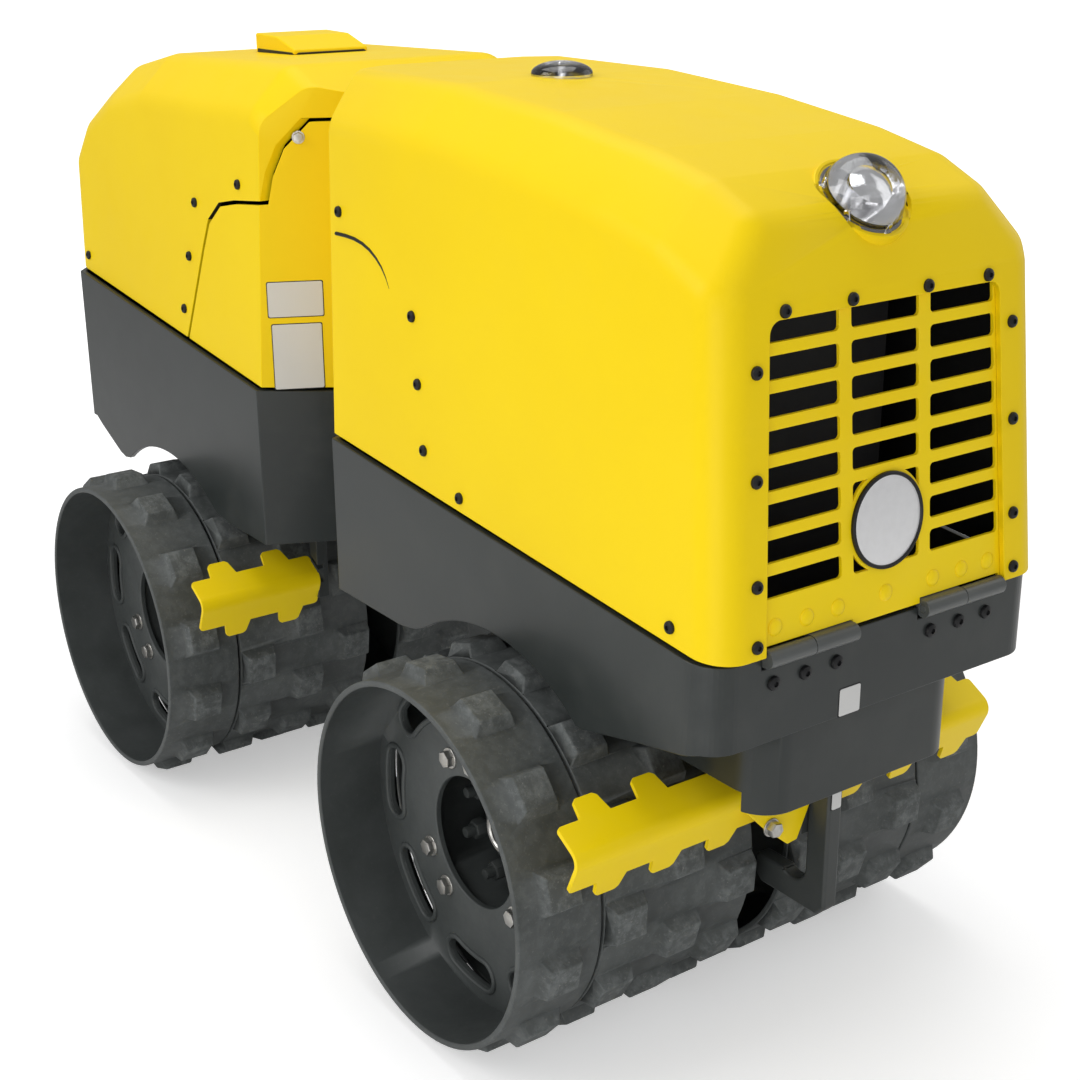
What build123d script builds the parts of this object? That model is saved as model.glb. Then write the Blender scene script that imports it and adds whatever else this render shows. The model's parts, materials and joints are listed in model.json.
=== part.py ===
from build123d import *
import math
import os

# Articulated trench roller. Millimetres, +X towards the engine half, +Z up, origin on the ground
# midway between the axles.

# Drums
axle_x = 500.0
axle_z = 268.0
lug_top_length = 46.0
shell_r = 250.0
shell_wall = 9.0
lug_tip_r = math.sqrt(axle_z ** 2 - (lug_top_length / 2) ** 2)
half_width = 410.0
ring_inner_y = 283.0
drum_outer_y = 279.0
drum_inner_y = 32.0
lug_count = 13
lug_length = 62.0
lug_width = 62.0
disc_plate = 10.0
ring_disc_y = 300.0
drum_disc_y = 190.0
shaft_r = 32.0
shaft_clearance = 0.05

# Frames
side_y = 275.0
plate = 10.0
front_x = 926.0
rear_x = -926.0
rear_side_x = -826.0
rear_tip = 104.0
corner_r = 45.0
front_inner_x = 97.0
front_mid_x = 22.0
rear_inner_x = -137.0
rear_mid_x = -62.0
inner_flat_y = 120.0
arch_r = 298.0
deck_z = 574.0
deck_plate = 8.0
frame_low_z = 499.0
seam_front_a = (40.0, 738.0)
seam_front_b = (900.0, 662.0)
seam_rear_a = (-140.0, 753.0)
seam_rear_b = (-830.0, 832.0)
seam_gap = 5.0

# Centre joint
pivot_x = -20.0
pivot_z = 532.0
steer_pin_r = 20.0
pin_clearance = 0.05
clevis_half = 38.0
clevis_r = 38.0
clevis_plate = 18.0
osc_shaft_r = 28.0
osc_housing_r = 52.0
osc_housing_length = 120.0

# Hoods
hood_wall = 8.0
hood_side_y = 273.0
hood_draft = 2.5
seam_mid_z = 640.0
face_lean = 5.07
face_ref_x = 927.0
face_ref_z = 673.0
grille_t = 5.0
grille_seat = grille_t / math.cos(math.radians(face_lean))
hood_round = 45.0
hood_shoulder_y = 166.0
face_step = hood_wall / math.cos(math.radians(face_lean))

# Hinges
hinge_out = 5.0
hinge_r = 11.5
hinge_pin_r = 5.0
hinge_leaf = 5.0
hinge_reach = 58.0
front_hinge_ys = (-195.0, 57.0)
rear_hinge_ys = (-160.0, 22.0)
knuckle = 68.5
knuckle_gap = 1.0
notch_low = 15.0
notch_high = 13.0


def save(shape, name):
    solids = list(shape.solids())
    shape = Compound(label=name, children=solids) if len(solids) > 1 else solids[0]
    shape.label = name
    export_step(shape, "parts/" + name + ".step")


def prism_y(points, y0, y1):
    face = make_face(Polyline(*[(x, 0, z) for x, z in points], close=True))
    solid = extrude(face, amount=y1 - y0, dir=(0, 1, 0))
    return Pos(0, y0, 0) * solid


def prism_z(points, z0, z1):
    face = make_face(Polyline(*[(x, y, 0) for x, y in points], close=True))
    return Pos(0, 0, z0) * extrude(face, amount=z1 - z0, dir=(0, 0, 1))


def prism_x(points, x0, x1):
    face = make_face(Polyline(*[(0, y, z) for y, z in points], close=True))
    return Pos(x0, 0, 0) * extrude(face, amount=x1 - x0, dir=(1, 0, 0))


def box(x0, x1, y0, y1, z0, z1):
    return Pos((x0 + x1) / 2, (y0 + y1) / 2, (z0 + z1) / 2) * Box(x1 - x0, y1 - y0, z1 - z0)


def rod_y(x, z, r, y0, y1):
    return Pos(x, (y0 + y1) / 2, z) * Rot(90, 0, 0) * Cylinder(r, y1 - y0)


def rod_x(y, z, r, x0, x1):
    return Pos((x0 + x1) / 2, y, z) * Rot(0, 90, 0) * Cylinder(r, x1 - x0)


def rod_z(x, y, r, z0, z1):
    return Pos(x, y, (z0 + z1) / 2) * Cylinder(r, z1 - z0)


def mirror_y(shape):
    return mirror(shape, about=Plane.XZ)


def line_z(a, b, x):
    return a[1] + (b[1] - a[1]) * (x - a[0]) / (b[0] - a[0])


# Drums, turned about their own axle at the origin and then moved

# Each row of lugs: distance from the machine's middle and turn in pitches
ring_rows = [(347.0, 0.26)]
drum_rows = [(247.0, 0.63), (152.0, 0.12), (64.0, 0.60)]


def lug(y):
    low = shell_r - 3.0
    foot = Pos(0, y, low) * Rectangle(lug_length, lug_width)
    top = Pos(0, y, lug_tip_r) * Rectangle(lug_top_length, lug_width - 14.0)
    return loft([Plane.XY * foot, Plane.XY * top])


def shell_with_lugs(y0, y1, rows):
    body = rod_y(0, 0, shell_r, y0, y1) - rod_y(0, 0, shell_r - shell_wall, y0 - 1, y1 + 1)
    lugs = []
    for y, turn in rows:
        for n in range(lug_count):
            lugs.append(Rot(0, -360.0 * (n + turn) / lug_count, 0) * lug(y))
    return body + lugs


# Kidney slots in the disc of a ring: middle radius, width, half angle of the middle line, first slot's angle
slot_mid_r = 198.0
slot_width = 36.0
slot_half_angle = 10.0
slot_first_angle = 42.0


def disc(y0, y1, hole_r, slots):
    body = rod_y(0, 0, shell_r - shell_wall + 1.0, y0, y1) - rod_y(0, 0, hole_r, y0 - 1, y1 + 1)
    for n in range(slots):
        start = slot_first_angle + 360.0 * n / slots - slot_half_angle
        kidney = SlotArc(CenterArc((0, 0), slot_mid_r, start, 2 * slot_half_angle), slot_width)
        body = body - Pos(0, y0 - 1, 0) * extrude(Plane.XZ * kidney, amount=y1 - y0 + 2, dir=(0, 1, 0))
    return body


def drum_pair():
    one = shell_with_lugs(drum_inner_y, drum_outer_y, drum_rows)
    one = one + disc(drum_disc_y, drum_disc_y + disc_plate, shaft_r, 0)
    return one + mirror_y(one)


def ring_pair():
    one = shell_with_lugs(ring_inner_y, half_width, ring_rows)
    one = one + disc(ring_disc_y, ring_disc_y + disc_plate, 92.0, 8)
    spacer = rod_y(0, 0, 128.0, drum_disc_y + disc_plate, ring_disc_y + 1) - rod_y(0, 0, 104.0, 0, 400)
    one = one + spacer
    return one + mirror_y(one)


def shaft():
    body = rod_y(0, 0, shaft_r - shaft_clearance, -215.0, 215.0)
    for s in (1, -1):
        flange = rod_y(0, 0, 85.0, 200.0, 214.0)
        hub = rod_y(0, 0, 60.0, 213.0, 240.0)
        one = flange + hub
        body = body + (one if s > 0 else mirror_y(one))
    return body


drums = drum_pair()
rings = ring_pair()
axle = shaft()


# Frames

def plan_front(inset, corner):
    pts = [
        (front_x - inset, -side_y + inset),
        (front_x - inset, side_y - inset),
        (front_inner_x + inset * 0.8, side_y - inset),
        (front_mid_x + inset, inner_flat_y),
        (front_mid_x + inset, -inner_flat_y),
        (front_inner_x + inset * 0.8, -side_y + inset),
    ]
    solid = prism_z(pts, 400.0, 900.0)
    edges = [e for e in solid.edges().filter_by(Axis.Z) if e.center().X > front_x - 30.0]
    return fillet(edges, corner)


def plan_rear(inset):
    pts = [
        (rear_x + inset, -side_y + rear_tip + inset * 0.4),
        (rear_side_x + inset * 0.4, -side_y + inset),
        (rear_inner_x - inset * 0.8, -side_y + inset),
        (rear_mid_x - inset, -inner_flat_y),
        (rear_mid_x - inset, inner_flat_y),
        (rear_inner_x - inset * 0.8, side_y - inset),
        (rear_side_x + inset * 0.4, side_y - inset),
        (rear_x + inset, side_y - rear_tip - inset * 0.4),
    ]
    return prism_z(pts, 400.0, 950.0)


# Lower edges of the side plates, each from the articulation outwards
front_low_edge = [(271.0, frame_low_z), (310.0, 506.0), (353.0, 525.0), (660.0, 503.0), (696.0, 503.0),
                  (732.0, 512.0), (801.0, 528.0), (884.0, 545.0), (905.0, 551.0)]
rear_low_edge = [(-262.0, frame_low_z), (-314.0, 504.0), (-353.0, 525.0), (-650.0, 516.0), (-690.0, 509.0),
                 (-712.0, 514.0), (-790.0, 548.0), (-812.0, 560.0)]


def side_view(seam_a, seam_b, x_in, x_out, low_edge):
    pts = [(x, line_z(seam_a, seam_b, x)) for x in (x_in, x_out)] + [(x_out, low_edge[-1][1])]
    pts = pts + low_edge[::-1] + [(x_in, low_edge[0][1])]
    return prism_y(pts, -400.0, 400.0)


# The hinges lie over the seam between a frame and its hood. Both are notched for the knuckles

def hinge_place(side):
    a, b, x = (seam_front_a, seam_front_b, front_x) if side > 0 else (seam_rear_a, seam_rear_b, rear_x)
    return x + side * hinge_out, line_z(a, b, x)


def hinge_rows(side):
    return front_hinge_ys if side > 0 else rear_hinge_ys


def hinge_notch(side):
    x, z = hinge_place(side)
    deep = hinge_r + hinge_out + plate
    cuts = []
    for y in hinge_rows(side):
        y1 = y + 2 * knuckle + knuckle_gap
        cuts.append(box(x - deep, x + deep, y - knuckle_gap, y1 + knuckle_gap, z - notch_low, z + notch_high))
    return cuts[0] + cuts[1]


def arch(x):
    return rod_y(x, axle_z, arch_r, -400.0, 400.0)


def clevis():
    low_z = pivot_z + clevis_half
    body = box(rear_mid_x - 1.0, pivot_x, -clevis_r, clevis_r, low_z, low_z + clevis_plate)
    body = body + rod_z(pivot_x, 0, clevis_r, low_z, low_z + clevis_plate)
    body = body + Pos(0, 0, -2 * clevis_half - clevis_plate) * body
    return body - rod_z(pivot_x, 0, steer_pin_r + pin_clearance, 300.0, 700.0)


# Bent guard below the nose, deepest in front
apron_back_x = 725.0
apron_front_x = 905.0
apron_half_y = 170.0
apron_low_z = 432.0
apron_side_low_z = 458.0
apron_plate = 8.0
apron_round = 50.0


def apron_block(inset, low_z):
    x1, half = apron_front_x - inset, apron_half_y - inset
    block = box(apron_back_x - inset, x1, -half, half, low_z, deck_z + 1)
    return fillet([e for e in block.edges().filter_by(Axis.Z) if e.center().X > x1 - 1], apron_round - inset)


def apron():
    bent = apron_block(0.0, apron_low_z) - apron_block(apron_plate, apron_low_z - 1)
    side_end_x = apron_front_x - apron_round + 14.0
    return bent - box(apron_back_x - 1, side_end_x, -200.0, 200.0, apron_low_z - 1, apron_side_low_z)


def front_frame():
    shell = plan_front(0.0, corner_r) - plan_front(plate, corner_r - plate)
    body = shell & side_view(seam_front_a, seam_front_b, 10.0, 940.0, front_low_edge)
    body = body - arch(axle_x) - hinge_notch(1)
    deck = plan_front(plate - 1.0, corner_r - plate + 1.0)
    deck = deck & box(0, 1000, -400, 400, deck_z, deck_z + deck_plate)
    body = body + deck
    body = body + apron()
    housing = rod_x(0, pivot_z, osc_housing_r, front_mid_x + 1, front_mid_x + 1 + osc_housing_length)
    body = body + housing
    body = body + box(front_mid_x + plate, front_mid_x + osc_housing_length, -20, 20, pivot_z, deck_z + 1)
    body = body - rod_x(0, pivot_z, osc_shaft_r + pin_clearance, 0.0, 200.0)
    return body


# Upright behind the fixed rear panel, which is bolted to it
post_t = 12.0
post_half_y = 110.0
post_top_z = 900.0


def rear_frame():
    shell = plan_rear(0.0) - plan_rear(plate)
    body = shell & side_view(seam_rear_a, seam_rear_b, -50.0, -940.0, rear_low_edge)
    body = body - arch(-axle_x) - hinge_notch(-1)
    deck = plan_rear(plate - 1.0) & box(-1000, 0, -400, 400, deck_z, deck_z + deck_plate)
    body = body + deck + clevis()
    clevis_low = pivot_z - clevis_half - clevis_plate
    web = box(rear_mid_x - plate, rear_mid_x, -clevis_r, clevis_r, clevis_low, deck_z)
    body = body + web - box(-400.0, -40.0, 40.0, 135.0, pivot_z - 60.0, pivot_z + 30.0)
    bracket = box(-330.0, -292.0, 66.0, 134.0, pivot_z + 18.0, deck_z + 1)
    body = body + bracket + rod_z(cyl_pin[0], cyl_pin[1], 9.95, pivot_z - 25.0, pivot_z + 21.0)
    post_face = rear_mid_x - hood_wall
    return body + box(post_face - post_t, post_face, -post_half_y, post_half_y, deck_z + 1, post_top_z)


# Steering cylinder between the rear frame and the yoke's arm
cyl_pin = (-305.0, 100.0)
cyl_eye_y = 100.0
eye_r = 20.0
barrel_r = 22.0
rod_r = 11.0


def yoke():
    half_high = clevis_half - 6.0
    body = box(pivot_x, front_mid_x - 8.0, -34.0, 34.0, pivot_z - half_high, pivot_z + half_high)
    body = body + rod_z(pivot_x, 0, 34.0, pivot_z - clevis_half + 0.5, pivot_z + clevis_half - 0.5)
    body = body + rod_x(0, pivot_z, osc_shaft_r, front_mid_x - 20.0, front_mid_x + osc_housing_length + 12.0)
    arm = box(pivot_x - 12.0, pivot_x + 12.0, 30.0, cyl_eye_y, pivot_z - 32.0, pivot_z - 20.0)
    arm = arm + rod_z(pivot_x, cyl_eye_y, 18.0, pivot_z - 32.0, pivot_z - 20.0)
    arm = arm + rod_z(pivot_x, cyl_eye_y, 14.0, pivot_z - 21.0, pivot_z - 15.0)
    body = body + arm
    return body - rod_z(pivot_x, 0, steer_pin_r + pin_clearance, 300.0, 700.0)


def steering_pin():
    top = pivot_z + clevis_half + clevis_plate
    body = rod_z(pivot_x, 0, steer_pin_r, pivot_z - clevis_half - clevis_plate - 6.0, top + 2.0)
    return body + rod_z(pivot_x, 0, 32.0, top + 0.5, top + 10.0)


def oscillation_collar():
    x0 = front_mid_x + osc_housing_length + 7.0
    return rod_x(0, pivot_z, 40.0, x0, x0 + 18.0) - rod_x(0, pivot_z, osc_shaft_r, x0 - 1, x0 + 5.0)


def cylinder_barrel():
    x0 = cyl_pin[0]
    body = rod_x(cyl_pin[1], pivot_z, barrel_r, x0 + 18.0, x0 + 200.0)
    body = body + rod_z(x0, cyl_pin[1], eye_r, pivot_z - 15.0, pivot_z + 15.0)
    body = body - rod_z(x0, cyl_pin[1], 10.0, pivot_z - 30.0, pivot_z + 30.0)
    return body - rod_x(cyl_pin[1], pivot_z, rod_r + 0.05, x0 + 45.0, x0 + 210.0)


def cylinder_rod():
    x0 = cyl_pin[0]
    body = rod_x(cyl_pin[1], pivot_z, rod_r, x0 + 110.0, pivot_x - 14.0)
    body = body + rod_z(pivot_x, cyl_eye_y, 18.0, pivot_z - 14.0, pivot_z + 14.0)
    return body + rod_z(pivot_x, cyl_eye_y, 12.0, pivot_z + 13.0, pivot_z + 20.0)


# Gear case between the two drums of one axle, and what hangs on it
case_half = 22.0
nose_length = 326.0


def gear_case(x, side):
    low = rod_y(x, axle_z, 95.0, -case_half, case_half)
    up = box(x - 80.0, x + 80.0, -case_half, case_half, axle_z, deck_z)
    nose_x = x + side * nose_length
    nose = box(min(x, nose_x), max(x, nose_x), -case_half, case_half, 330.0, 436.0)
    drop_x = x + side * 270.0
    drop = box(min(drop_x, nose_x), max(drop_x, nose_x), -case_half, case_half, 430.0, deck_z)
    body = low + up + nose + drop
    return body - rod_y(x, axle_z, shaft_r + shaft_clearance, -50.0, 50.0)


# Scrapers: a bent plate on the +X side of each drum, with tabs between the rows of lugs
scraper_t = 6.0
scraper_line = [(282.0, 442.0), (324.0, 418.0), (303.0, 367.0)]
scraper_tab = 28.0
tab_half = 17.0
front_left_scraper = (-378.0, -case_half, (-344.0, -255.0), (-325.0, -235.0, -140.0))
front_right_scraper = (case_half, 324.0, (167.0, 260.0), (85.0, 167.0, 260.0))
rear_right_scraper = (150.0, 375.0, (255.0, 344.0), (235.0, 325.0))
arm_ys = (142.0, 162.0)
arm_depth = 24.0


def strip(points, y0, y1):
    line = Plane.XZ * trace(Polyline(*points), scraper_t)
    return Pos(0, y0, 0) * extrude(line, amount=y1 - y0, dir=(0, 1, 0))


def past(a, b):
    length = math.hypot(b[0] - a[0], b[1] - a[1])
    return (b[0] + (b[0] - a[0]) * scraper_tab / length, b[1] + (b[1] - a[1]) * scraper_tab / length)


def scraper(x, y0, y1, tabs_top, tabs_low):
    top, fold, low = scraper_line
    body = strip(scraper_line, y0, y1)
    for y in tabs_top:
        body = body + strip([fold, past(fold, top)], y - tab_half, y + tab_half)
    for y in tabs_low:
        body = body + strip([fold, past(fold, low)], y - tab_half, y + tab_half)
    return Pos(x, 0, 0) * body


def rear_scrapers():
    right = scraper(-axle_x, *rear_right_scraper)
    return right + mirror_y(right)


def rear_scraper_arms():
    back = -axle_x + scraper_line[1][0] - scraper_t
    arm = box(back - arm_depth, back, *arm_ys, scraper_line[2][1], deck_z)
    return arm + mirror_y(arm) - rear_scrapers()


# Tie-down hook at the nose of each half, its prong in the gap between the drums
hook_low_z = 221.0
hook_bar = 38.0
hook_half = 12.0
hook_bight_r = 24.0
hook_bight_z = 280.0
hook_lip_z = 262.0
hook_reach = 91.0
hook_top_z = 445.0


def hook(side):
    back = axle_x + nose_length
    front = back + hook_bar
    pts = [
        (front, hook_top_z),
        (front, hook_low_z + 15.0),
        (front - 15.0, hook_low_z),
        (back - hook_reach + 10.0, hook_low_z),
        (back - hook_reach, hook_low_z + 10.0),
        (back - hook_reach, hook_lip_z),
        (back - 10.0, hook_lip_z),
        (back, hook_bight_z),
        (back, hook_top_z),
    ]
    body = prism_y([(side * x, z) for x, z in pts], -hook_half, hook_half)
    return body - rod_y(side * (back - hook_bight_r), hook_bight_z, hook_bight_r, -50.0, 50.0)


# Hoods

def face_x(z):
    return face_ref_x - math.tan(math.radians(face_lean)) * (z - face_ref_z)


def rear_face_x(z):
    return rear_face_step - face_x(z)


# Top line of each hood with sharp corners. It runs on past the articulation, where it is cut off
hood_low_z = 300.0
hood_top_z = 1400.0
hood_past_x = 130.0
rear_face_step = -10.0
face_top_z = 1055.0
rear_face_top_z = 960.0
front_top = [(-hood_past_x, 1242.0), (300.0, 1238.0), (520.0, 1221.0), (700.0, 1196.0), (800.0, 1174.0),
             (874.0, 1140.0)]
rear_top = [(hood_past_x, 1112.0), (-75.0, 1200.0), (-150.0, 1234.0), (-560.0, 1226.0), (-700.0, 1200.0),
            (-810.0, 1150.0), (-880.0, 1070.0)]
front_face_line = [(face_x(z) + face_step, z) for z in (face_top_z, hood_low_z)]
rear_face_line = [(rear_face_x(z), z) for z in (rear_face_top_z, hood_low_z)]


def inset_profile(points):
    face = make_face(Polyline(*[(x, 0, z) for x, z in points], close=True))
    return offset(face, -hood_round, kind=Kind.INTERSECTION)


# Everything below the top line, with the edges along both sides cut off at 45 degrees
def shoulders(top):
    (xa, za), (xb, zb) = top[-2:]
    far = 1500.0 if xb > 0 else -1500.0
    tall = [(top[0][0], -900.0)] + top + [(far, line_z((xa, za), (xb, zb), far)), (far, -900.0)]
    face = inset_profile(tall)
    middle = Pos(0, -hood_shoulder_y, 0) * extrude(face, amount=2 * hood_shoulder_y, dir=(0, 1, 0))
    slope = Pos(0, hood_shoulder_y, 0) * extrude(face, amount=400.0, dir=(0, 1, -1))
    return middle + slope + mirror_y(slope)


# Plan of the rear corners, cut off as the frame's are
def rear_corner_plan():
    tip_x = rear_side_x - (rear_side_x - rear_x) * side_y / rear_tip
    points = [(300.0, side_y), (rear_side_x, side_y), (tip_x, 0), (rear_side_x, -side_y), (300.0, -side_y)]
    face = make_face(Polyline(*[(x, y, 0) for x, y in points], close=True))
    face = offset(face, -hood_round, kind=Kind.INTERSECTION)
    return extrude(face, amount=hood_top_z, dir=(0, 0, 1))


def hood_core(top, face_line):
    profile = [(top[0][0], hood_low_z)] + top + face_line
    solid = Pos(0, -400.0, 0) * extrude(inset_profile(profile), amount=800.0, dir=(0, 1, 0))
    lean = math.tan(math.radians(hood_draft))
    half = hood_side_y - hood_round / math.cos(math.radians(hood_draft))
    low_y = half + lean * (seam_mid_z - hood_low_z)
    high_y = half - lean * (hood_top_z - seam_mid_z)
    sides = prism_x([(-low_y, hood_low_z), (low_y, hood_low_z), (high_y, hood_top_z), (-high_y, hood_top_z)],
                    -1500.0, 1500.0)
    return solid & sides & shoulders(top)


# The corners towards the articulation are cut off at an angle, which leaves room to steer
def articulation_plan(mid_x, base_x, side, inset):
    tip = mid_x + side * inset
    base = base_x + side * inset
    far = side * 1500.0
    half = [(tip, -inner_flat_y), (base, -side_y), (base, -400.0), (far, -400.0)]
    return prism_z(half + [(x, -y) for x, y in half[::-1]], hood_low_z - 10.0, hood_top_z)


def below(a, b, gap):
    pts = [(x, line_z(a, b, x) + gap) for x in (-1500.0, 1500.0)] + [(1500.0, 200.0), (-1500.0, 200.0)]
    return prism_y(pts, -400.0, 400.0)


def hood_shell(core, mid_x, base_x, side, a, b):
    outer = offset(core, hood_round, kind=Kind.ARC).solids()[0]
    inner = offset(core, hood_round - hood_wall, kind=Kind.ARC).solids()[0]
    outer = outer & articulation_plan(mid_x, base_x, side, 0.0)
    inner = inner & articulation_plan(mid_x, base_x, side, hood_wall)
    return outer - inner - below(a, b, seam_gap)


# Grille panel behind the opening in the leaning front face
grille_half_y = 204.0
grille_low = 665.0
grille_high = 1046.0
slot_rows = 8
slot_pitch = 40.6
slot_height = 26.5
slot_low_first = 1011.0
slot_corner = 5.5
column_inner_y = 73.0
column_outer_y = 180.0
column_middle_y = 54.0
badge_z = 781.0
badge_r = 58.0
badge_t = 4.0
badge_margin = 4.0
opening_half_y = 182.0
opening_high = 1036.0
opening_corner = 16.0


def on_face(y, z, out):
    return Pos(face_x(z) - grille_seat / 2 + out, y, z) * Rot(0, -face_lean, 0)


# Half width of the hood's opening and of the slots grows downwards with the sides
def widened(half_y, z_top, z):
    return half_y + math.tan(math.radians(hood_draft)) * (z_top - z)


def rounded_prism_x(points, corner, count, x0, x1):
    face = make_face(Polyline(*points, close=True)).face()
    corners = sorted(face.vertices(), key=lambda v: -v.Y)[:count]
    face = Plane.YZ * fillet(corners, corner)
    return Pos(x0, 0, 0) * extrude(face, amount=x1 - x0, dir=(1, 0, 0))


def slot(n, column):
    low = slot_low_first - n * slot_pitch
    high = low + slot_height
    if column == 0:
        half = column_middle_y
        points = [(-half, low), (half, low), (half, high), (-half, high)]
    else:
        out_low = column * widened(column_outer_y, slot_low_first, low)
        out_high = column * widened(column_outer_y, slot_low_first, high)
        inner = column * column_inner_y
        points = [(inner, low), (out_low, low), (out_high, high), (inner, high)]
    return rounded_prism_x(points, slot_corner, 4, 800.0, 1000.0)


def grille():
    mid = (grille_low + grille_high) / 2
    body = on_face(0, mid, 0.0) * Box(grille_t, 2 * grille_half_y, grille_high - grille_low)
    boss = rod_x(0, badge_z, badge_r + badge_margin, 700.0, 1100.0)
    for n in range(slot_rows):
        for column in (-1, 0, 1):
            cut = slot(n, column)
            near = column == 0 and abs(slot_low_first - n * slot_pitch - badge_z) < badge_r
            body = body - (cut - boss if near else cut)
    return body - hinge_notch(1)


def badge():
    out = (grille_t + badge_t) / 2 / math.cos(math.radians(face_lean))
    return on_face(0, badge_z, out) * Rot(0, 90, 0) * Cylinder(badge_r, badge_t)


lamp_x = 866.0
lamp_z = 1150.0
lamp_tilt = 35.0
lamp_r = 45.0


def headlamp():
    place = Pos(lamp_x, 0, lamp_z) * Rot(0, lamp_tilt, 0)
    ball = place * Pos(0, 0, -14.0) * Sphere(lamp_r)
    cut = place * Pos(0, 0, -60.0) * Box(200.0, 200.0, 100.0)
    return ball - cut


def headlamp_hole():
    place = Pos(lamp_x, 0, lamp_z) * Rot(0, lamp_tilt, 0)
    return place * Cylinder(lamp_r - 8.0, 60.0) + headlamp()


dome = (285.0, 1236.0)


def dome_lamp():
    base = rod_z(dome[0], 0, 34.0, dome[1] - 4.0, dome[1] + 5.0)
    return fillet(base.edges().group_by(Axis.Z)[-1], 4.0)


def front_hood():
    core = hood_core(front_top, front_face_line)
    body = hood_shell(core, front_mid_x, front_inner_x, 1, seam_front_a, seam_front_b)
    low = 600.0
    half_low = widened(opening_half_y, opening_high, low)
    half = opening_half_y
    points = [(-half_low, low), (half_low, low), (half, opening_high), (-half, opening_high)]
    return body - rounded_prism_x(points, opening_corner, 2, 870.0, 1000.0) - headlamp_hole() - dome_lamp()


# Split between the tilting rear hood and the fixed panel, seen from the side
split_gap = 5.0
split = [
    (-40.0, 1156.0),
    (-93.0, 1156.0),
    (-110.0, 1118.0),
    (-118.0, 1078.0),
    (-122.0, 1037.0),
    (-207.0, 1028.0),
    (-260.0, 1018.0),
    (-300.0, 987.0),
    (-322.0, 942.0),
    (-394.0, 776.0),
    (-400.0, 700.0),
    (-40.0, 700.0),
]


def rear_bodies():
    core = hood_core(rear_top, rear_face_line) & rear_corner_plan()
    whole = hood_shell(core, rear_mid_x, rear_inner_x, -1, seam_rear_a, seam_rear_b) - hinge_notch(-1)
    cutter = prism_y(split, -400.0, 400.0)
    panel = whole & cutter
    grown = [(x - split_gap if x < -45.0 else x, z + split_gap if z > 710.0 else z) for x, z in split]
    hood = whole - prism_y(grown, -400.0, 400.0)
    return hood, panel


# Receiver housing on top of the rear hood
receiver_half_y = 68.0
receiver_side = [(-479.0, 1200.0), (-479.0, 1258.0), (-405.0, 1256.0), (-345.0, 1238.0), (-345.0, 1200.0)]


def receiver_box(hood):
    top = prism_y(receiver_side, -receiver_half_y, receiver_half_y) - hood
    return max(top.solids(), key=lambda part: part.center().Z)


# Hinges: a leaf behind the frame's plate carries the pin, and a leaf behind the hood's face turns on it

def hinge_fixed(side):
    x, z = hinge_place(side)
    wall = x - side * (hinge_out + plate)
    back = wall - side * hinge_leaf
    body = None
    for y in hinge_rows(side):
        y0 = y if y < 0 else y + knuckle + knuckle_gap
        one = rod_y(x, z, hinge_r, y0, y0 + knuckle)
        leaf = [(back, z - hinge_reach), (wall, z - hinge_reach), (wall, z - hinge_r), (x, z - hinge_r),
                (x, z - hinge_r + hinge_leaf), (back, z - hinge_r + hinge_leaf)]
        one = one + prism_y(leaf, y0, y0 + knuckle)
        one = one + rod_y(x, z, hinge_pin_r, y, y + 2 * knuckle + knuckle_gap)
        body = one if body is None else body + one
    return body


def hinge_moving(side, wall):
    x, z = hinge_place(side)
    low = z + hinge_r - hinge_leaf
    high = z + hinge_reach
    back = (wall(low) - side * hinge_leaf, wall(high) - side * hinge_leaf)
    body = None
    for y in hinge_rows(side):
        y0 = y if y > 0 else y + knuckle + knuckle_gap
        one = rod_y(x, z, hinge_r, y0, y0 + knuckle)
        one = one + prism_y([(x, low), (back[0], low), (back[1], high), (wall(high), high),
                             (wall(z + hinge_r), z + hinge_r), (x, z + hinge_r)], y0, y0 + knuckle)
        one = one - rod_y(x, z, hinge_pin_r + pin_clearance, y0 - 1, y0 + knuckle + 1)
        body = one if body is None else body + one
    return body


# Engine block and hydraulic tank under the hoods
engine_xs = (300.0, 760.0)
engine_half_y = 150.0
engine_top_z = 1000.0
tank_xs = (-700.0, -350.0)
tank_half_y = 180.0
tank_top_z = 880.0
tray_z = deck_z + deck_plate

os.makedirs("parts", exist_ok=True)
for x, name, turn in ((axle_x, "front", 0.0), (-axle_x, "rear", -0.08)):
    place = Pos(x, 0, axle_z) * Rot(0, -360.0 * turn / lug_count, 0)
    save(place * drums, name + "_drums")
    save(place * rings, name + "_extension_rings")
    save(place * axle, name + "_axle")
    side = 1 if x > 0 else -1
    save(gear_case(x, side), name + "_gear_case")
    save(hook(side), name + "_tiedown_hook")
save(front_frame(), "front_frame")
save(rear_frame(), "rear_frame")
save(yoke(), "centre_yoke")
save(steering_pin(), "steering_pin")
save(oscillation_collar(), "oscillation_collar")
save(cylinder_barrel(), "steering_barrel")
save(cylinder_rod(), "steering_rod")
save(front_hood(), "front_hood")
save(grille(), "grille")
save(badge(), "grille_badge")
save(headlamp(), "headlamp")
save(dome_lamp(), "dome_lamp")
rear_hood, rear_panel = rear_bodies()
save(rear_hood, "rear_hood")
save(rear_panel, "rear_panel")
save(receiver_box(rear_hood), "receiver_box")
save(hinge_fixed(1), "front_hinges_fixed")
save(hinge_moving(1, lambda z: face_x(z) - grille_seat), "front_hinges_moving")
save(hinge_fixed(-1), "rear_hinges_fixed")
save(hinge_moving(-1, lambda z: rear_face_x(z) + face_step), "rear_hinges_moving")
save(scraper(axle_x, *front_left_scraper) + scraper(axle_x, *front_right_scraper), "front_scrapers")
save(rear_scrapers(), "rear_scrapers")
save(rear_scraper_arms(), "rear_scraper_arms")
save(box(*engine_xs, -engine_half_y, engine_half_y, tray_z, engine_top_z), "engine")
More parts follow.
